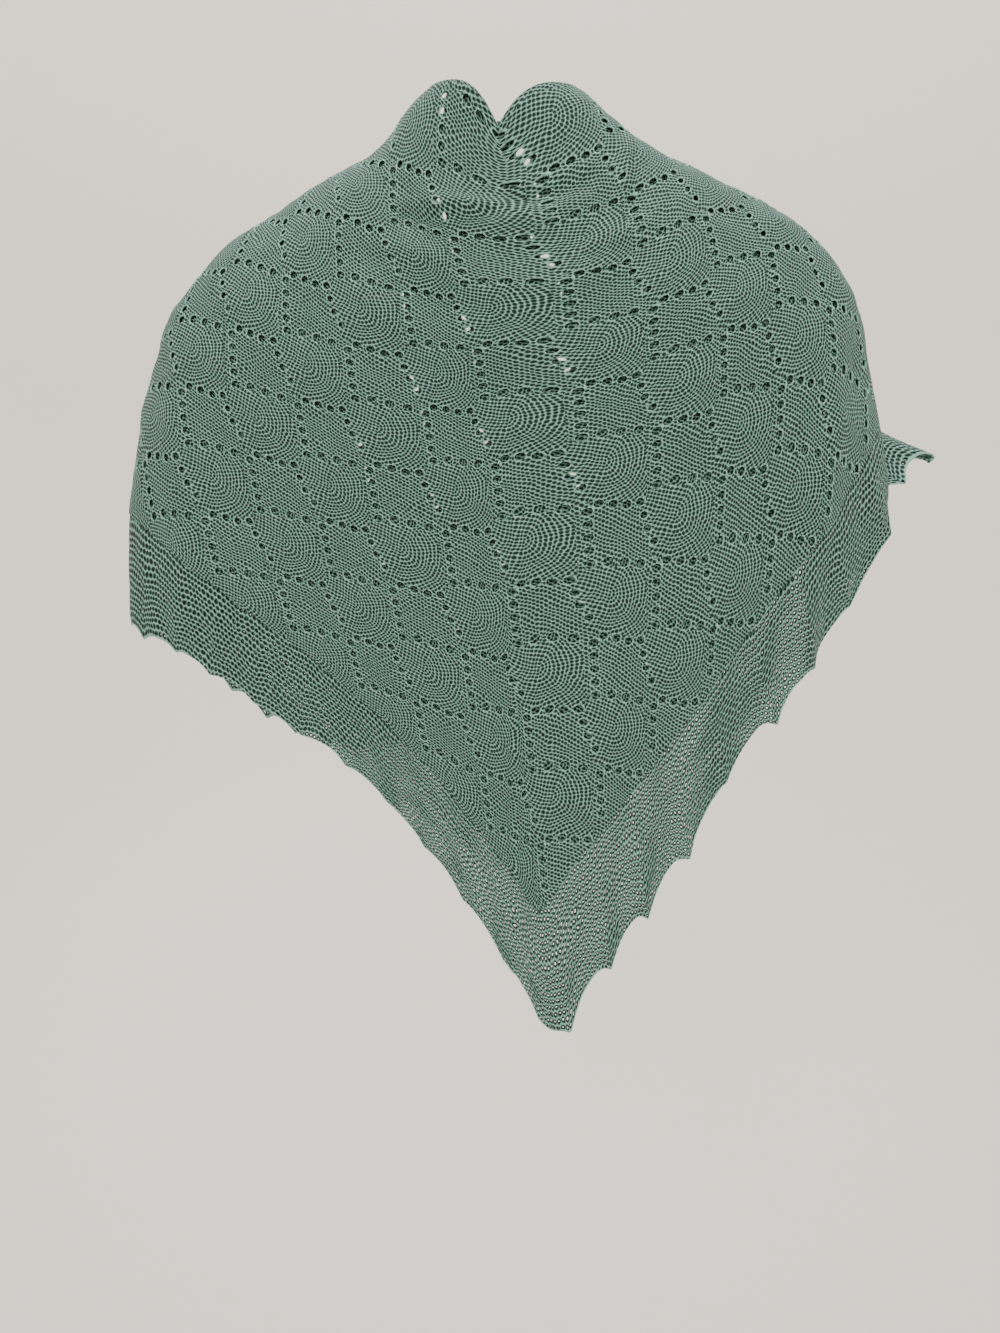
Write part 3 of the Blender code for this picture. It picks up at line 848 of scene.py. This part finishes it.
def yarn_colour(tree, stitches, strand_height, strand, top):
    """Colour from painted shade deep in a gap to a painted highlight on the top of a strand, uneven
    from stitch to stitch.
    """
    # Ramp from painted shade in the gaps through the strand's colour to a painted highlight on its
    # top
    ramp = tree.nodes.new("ShaderNodeValToRGB")
    ramp.color_ramp.elements[0].position = GAP_SHADE_END
    ramp.color_ramp.elements[0].color = GAP_SHADE
    ramp.color_ramp.elements[1].position = HIGHLIGHT_START
    ramp.color_ramp.elements[1].color = top
    ramp.color_ramp.elements.new(STRAND_MIDDLE).color = strand
    tree.links.new(math_node(tree, "DIVIDE", strand_height, STRAND_END), ramp.inputs[0])
    value = added_noise(tree, stitches, "blotch", LEAST_VALUE)
    value = added_noise(tree, stitches, "twist", value)
    vary = tree.nodes.new("ShaderNodeHueSaturation")
    tree.links.new(value, vary.inputs["Value"])
    tree.links.new(ramp.outputs[0], vary.inputs["Color"])
    return vary.outputs[0]


def strand_bump(tree, stitches, strand_height):
    """Normal of round strands with fine fibres."""
    height = math_node(tree, "MINIMUM", strand_height, HEIGHT_CAP)
    bump = tree.nodes.new("ShaderNodeBump")
    bump.inputs["Strength"].default_value = BUMP_STRENGTH
    bump.inputs["Distance"].default_value = BUMP_DISTANCE
    tree.links.new(added_noise(tree, stitches, "fibre", height), bump.inputs["Height"])
    return bump.outputs[0]


def open_gaps(tree, shader, strand_height, clear_part):
    """Lets light through the middle of each gap."""
    clear = tree.nodes.new("ShaderNodeBsdfTransparent")
    mix = tree.nodes.new("ShaderNodeMixShader")
    yarn = math_node(tree, "GREATER_THAN", strand_height, clear_part)
    tree.links.new(yarn, mix.inputs[0])
    tree.links.new(clear.outputs[0], mix.inputs[1])
    tree.links.new(shader.outputs[0], mix.inputs[2])
    tree.links.new(mix.outputs[0], tree.nodes["Material Output"].inputs["Surface"])


def knit_material(name):
    """Knitted yarn: strands with a painted highlight on top round gaps in painted shade, in brick
    order on the stitch map.
    """
    strand, top, gap_long, gap_wide, clear_part = YARNS[name]
    material = bpy.data.materials.new(name)
    material.use_nodes = True
    tree = material.node_tree
    shader = tree.nodes["Principled BSDF"]
    stitch_map = tree.nodes.new("ShaderNodeUVMap")
    stitch_map.uv_map = "stitches"
    stitches = stitch_map.outputs[0]
    swayed = moved_node(tree, stitches, "sway", stitches)
    split = tree.nodes.new("ShaderNodeSeparateXYZ")
    tree.links.new(moved_node(tree, stitches, "wobble", swayed), split.inputs[0])
    far = gap_distance(tree, split.outputs[0], split.outputs[1], gap_long, gap_wide)
    # The rim round an eyelet raises its strands: a real bump, and a painted highlight in the colour
    ring = math_node(tree, "MULTIPLY_ADD", attribute_node(tree, "rim"), RING_GAIN, RING_START)
    strand_height = math_node(tree, "ADD", math_node(tree, "MAXIMUM", ring, 0.0), far)
    colour = yarn_colour(tree, stitches, strand_height, strand, top)
    tree.links.new(colour, shader.inputs["Base Color"])
    tree.links.new(strand_bump(tree, stitches, strand_height), shader.inputs["Normal"])
    shader.inputs["Roughness"].default_value = ROUGHNESS
    shader.inputs["Specular IOR Level"].default_value = SPECULAR
    shader.inputs["Sheen Weight"].default_value = SHEEN
    shader.inputs["Sheen Roughness"].default_value = SHEEN_ROUGHNESS
    if clear_part:
        open_gaps(tree, shader, strand_height, clear_part)
    return material


def floor_profile():
    """Radius and height of each ring of the floor, from its middle out and up."""
    profile = [(0.0, 0.0), (FLOOR_INNER, 0.0), (FLOOR_FLAT, 0.0)]
    for step in range(1, FLOOR_ARC_STEPS + 1):
        angle = step / FLOOR_ARC_STEPS * math.pi / 2
        radius = FLOOR_FLAT + FLOOR_CURVE * math.sin(angle)
        profile.append((radius, FLOOR_CURVE * (1 - math.cos(angle))))
    profile.append((FLOOR_FLAT + FLOOR_CURVE, FLOOR_TOP))
    return profile


def stage_set():
    """Pale floor that curves up all round into a backdrop."""
    points = []
    faces = []
    profile = floor_profile()
    for radius, height in profile:
        for step in range(FLOOR_TURNS):
            angle = step / FLOOR_TURNS * 2 * math.pi
            points.append((radius * math.cos(angle), radius * math.sin(angle), height - FLOOR_DROP))
    for inner in range(0, (len(profile) - 1) * FLOOR_TURNS, FLOOR_TURNS):
        outer = inner + FLOOR_TURNS
        for step in range(FLOOR_TURNS):
            beside = (step + 1) % FLOOR_TURNS
            faces.append((inner + step, inner + beside, outer + beside, outer + step))
    mesh = bpy.data.meshes.new("floor")
    mesh.from_pydata(points, [], faces)
    mesh.polygons.foreach_set("use_smooth", [True] * len(faces))
    floor = bpy.data.objects.new("floor", mesh)
    material = bpy.data.materials.new("pale_floor")
    material.use_nodes = True
    shader = material.node_tree.nodes["Principled BSDF"]
    shader.inputs["Base Color"].default_value = FLOOR_COLOUR
    shader.inputs["Roughness"].default_value = FLOOR_ROUGHNESS
    mesh.materials.append(material)
    bpy.context.scene.collection.objects.link(floor)


def light(name, place, target, size, power, colour):
    """Soft square light that faces a point."""
    data = bpy.data.lights.new(name, "AREA")
    data.size = size
    data.energy = power
    data.color = colour
    lamp = bpy.data.objects.new(name, data)
    lamp.location = place
    lamp.rotation_euler = (Vector(target) - Vector(place)).to_track_quat("-Z", "Y").to_euler()
    bpy.context.scene.collection.objects.link(lamp)


def camera():
    """Camera at the photo's place, behind the wearer and a little above."""
    data = bpy.data.cameras.new("camera")
    data.lens = LENS
    data.clip_start = NEAREST
    eye = bpy.data.objects.new("camera", data)
    eye.location = EYE
    eye.rotation_euler = (math.pi / 2 - LOOK_DOWN, 0.0, math.pi)
    bpy.context.scene.collection.objects.link(eye)
    bpy.context.scene.camera = eye


def sky():
    """Even soft light from all round."""
    world = bpy.data.worlds.new("soft_sky")
    world.use_nodes = True
    background = world.node_tree.nodes["Background"]
    background.inputs["Color"].default_value = SKY_COLOUR
    background.inputs["Strength"].default_value = SKY_STRENGTH
    bpy.context.scene.world = world


def dress_lace():
    """Both layers of lace and the fold, over the back and down each side."""
    lace = knit_material("lace_yarn")
    # Inner layer: the same yarn, painted a little lighter against the shade behind the eyelets
    behind = knit_material("inner_yarn")
    layers = (
        ("outer_lace", 0.0, lace, FlatLace(OUTER_SHIFT, OUTER_OPENNESS)),
        ("inner_layer", INNER_DEPTH - NESTLE, behind, FlatLace(INNER_SHIFT, INNER_OPENNESS)),
    )
    spans = {"right": (-LACE, -SPLIT), "back": (-SPLIT, SPLIT), "left": (SPLIT, LACE)}
    for part, (first, last) in spans.items():
        fold = fold_piece("fold_fine_" + part, first, last, lace, "fold_edge_" + part)
        for layer, inside, material, flat in layers:
            piece = lace_piece(layer + "_fine_" + part, flat, first, last, inside, material,
                               layer + "_" + part)


def dress_border():
    """Border of open mesh along each short side of the triangle."""
    mesh_knit = knit_material("border_yarn")
    stretches = (("_back", 0.0, BORDER_SPLIT), ("_front", BORDER_SPLIT, 1.0))
    for side, part in ((-1, "right"), (1, "left")):
        for stretch, start, end in stretches:
            piece = border_piece("border_fine_" + part + stretch, side, start, end, mesh_knit,
                                 "border_" + part + stretch)


def main():
    """Builds the pieces and sets the stage."""
    dress_lace()
    dress_border()
    stage_set()
    for name, row in LIGHTS.items():
        light(name, *row)
    sky()
    camera()


main()
